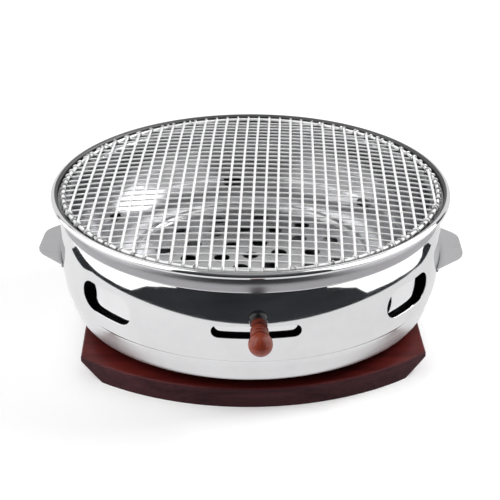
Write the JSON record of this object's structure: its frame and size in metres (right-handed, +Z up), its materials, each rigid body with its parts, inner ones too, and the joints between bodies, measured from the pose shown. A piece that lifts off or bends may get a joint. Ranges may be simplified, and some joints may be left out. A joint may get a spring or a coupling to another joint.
{
  "type": "table-top charcoal grill",
  "caption": "Round table-top charcoal grill: polished steel body with sliding air damper, fire bowl, charcoal grate and domed wire cooking grate on a wooden board.",
  "frame": {"origin": "centre of the wooden board's underside, on the table and on the grill's axis", "axes": "+Z up, -Y towards the front where the air-control knob is, +X to the right of somebody facing the knob"},
  "size_m": [0.3463, 0.3432, 0.1294],
  "materials": {
    "board_wood": "gloss red-brown lacquer",
    "knob_wood": "satin lacquer, turned",
    "polished_steel": "mirror-polished stainless steel",
    "bowl_steel": "polished stainless steel with fine spinning marks",
    "satin_steel": "satin stainless sheet",
    "fastener_steel": "zinc-plated",
    "wire_steel": "bright-plated wire"
  },
  "bodies": {
    "board": {"wood_board": "board_wood"},
    "body": {"outer_body": "polished_steel", "left_handle": "satin_steel", "right_handle": "satin_steel", "damper_guides": "satin_steel"},
    "damper": {"damper_ring": "satin_steel", "damper_screw": "fastener_steel", "damper_nut": "fastener_steel", "damper_knob": "knob_wood"},
    "bowl": {"fire_bowl": "bowl_steel"},
    "charcoal": {"charcoal_grate": "satin_steel"},
    "cooking_grate": {"grate_rim": "wire_steel", "grate_long_wires": "wire_steel", "grate_cross_wires": "wire_steel"}
  },
  "joints": [
    {"name": "body_lift", "type": "slide", "parent": "board", "child": "body", "axis": [0, 0, 1], "range_m": [0, 0.12]},
    {"name": "damper_turn", "type": "hinge", "parent": "body", "child": "damper", "pos_m": [0, 0, 0.0715], "axis": [0, 0, 1], "range_deg": [-11, 9.5]},
    {"name": "bowl_lift", "type": "slide", "parent": "body", "child": "bowl", "axis": [0, 0, 1], "range_m": [0, 0.12]},
    {"name": "charcoal_lift", "type": "slide", "parent": "bowl", "child": "charcoal", "axis": [0, 0, 1], "range_m": [0, 0.045]},
    {"name": "grate_lift", "type": "slide", "parent": "bowl", "child": "cooking_grate", "axis": [0, 0, 1], "range_m": [0, 0.12]}
  ]
}
